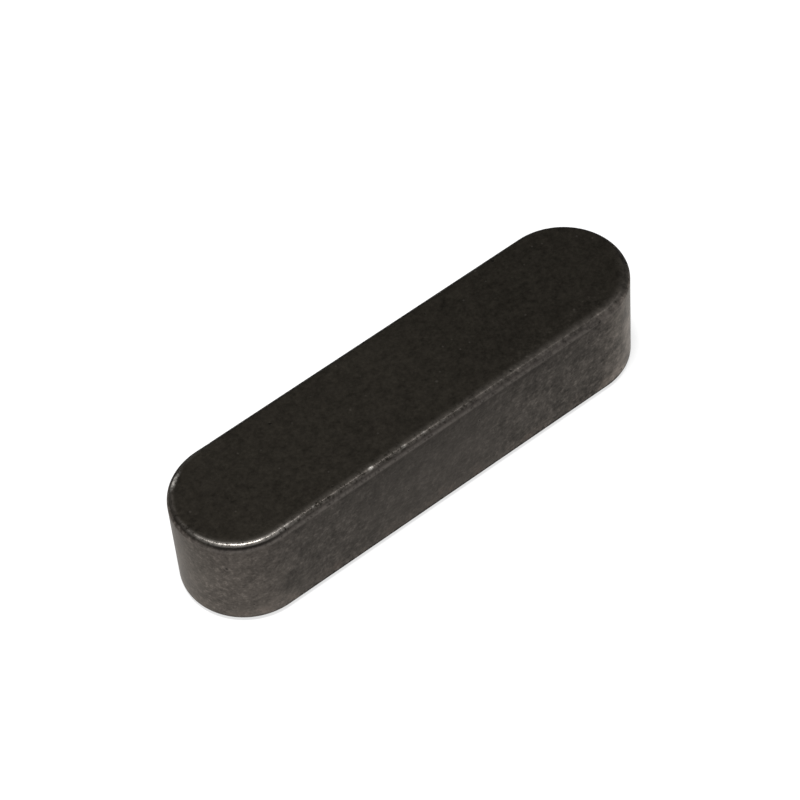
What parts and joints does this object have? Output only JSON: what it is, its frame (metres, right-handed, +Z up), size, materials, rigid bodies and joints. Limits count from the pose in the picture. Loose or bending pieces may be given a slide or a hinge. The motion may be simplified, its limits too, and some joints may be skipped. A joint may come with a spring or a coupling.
{
  "type": "parallel key",
  "caption": "Round-ended parallel key: a dark steel bar with two full half-round ends and a narrow chamfer round its top and bottom faces.",
  "frame": {"origin": "middle of the seat face, the flat underside that lies on the bottom of the shaft's keyway", "axes": "+X along the key's length, +Y across its width, +Z up from the seat face to the top face"},
  "size_m": [0.032, 0.008, 0.007],
  "materials": {
    "dark_steel": "bright-drawn carbon steel gone dark with an oiled black oxide, satin, with fine drawing lines along the flanks and the edges worn back towards bare metal"
  },
  "bodies": {
    "root": {"parallel_key": "dark_steel"}
  },
  "joints": []
}
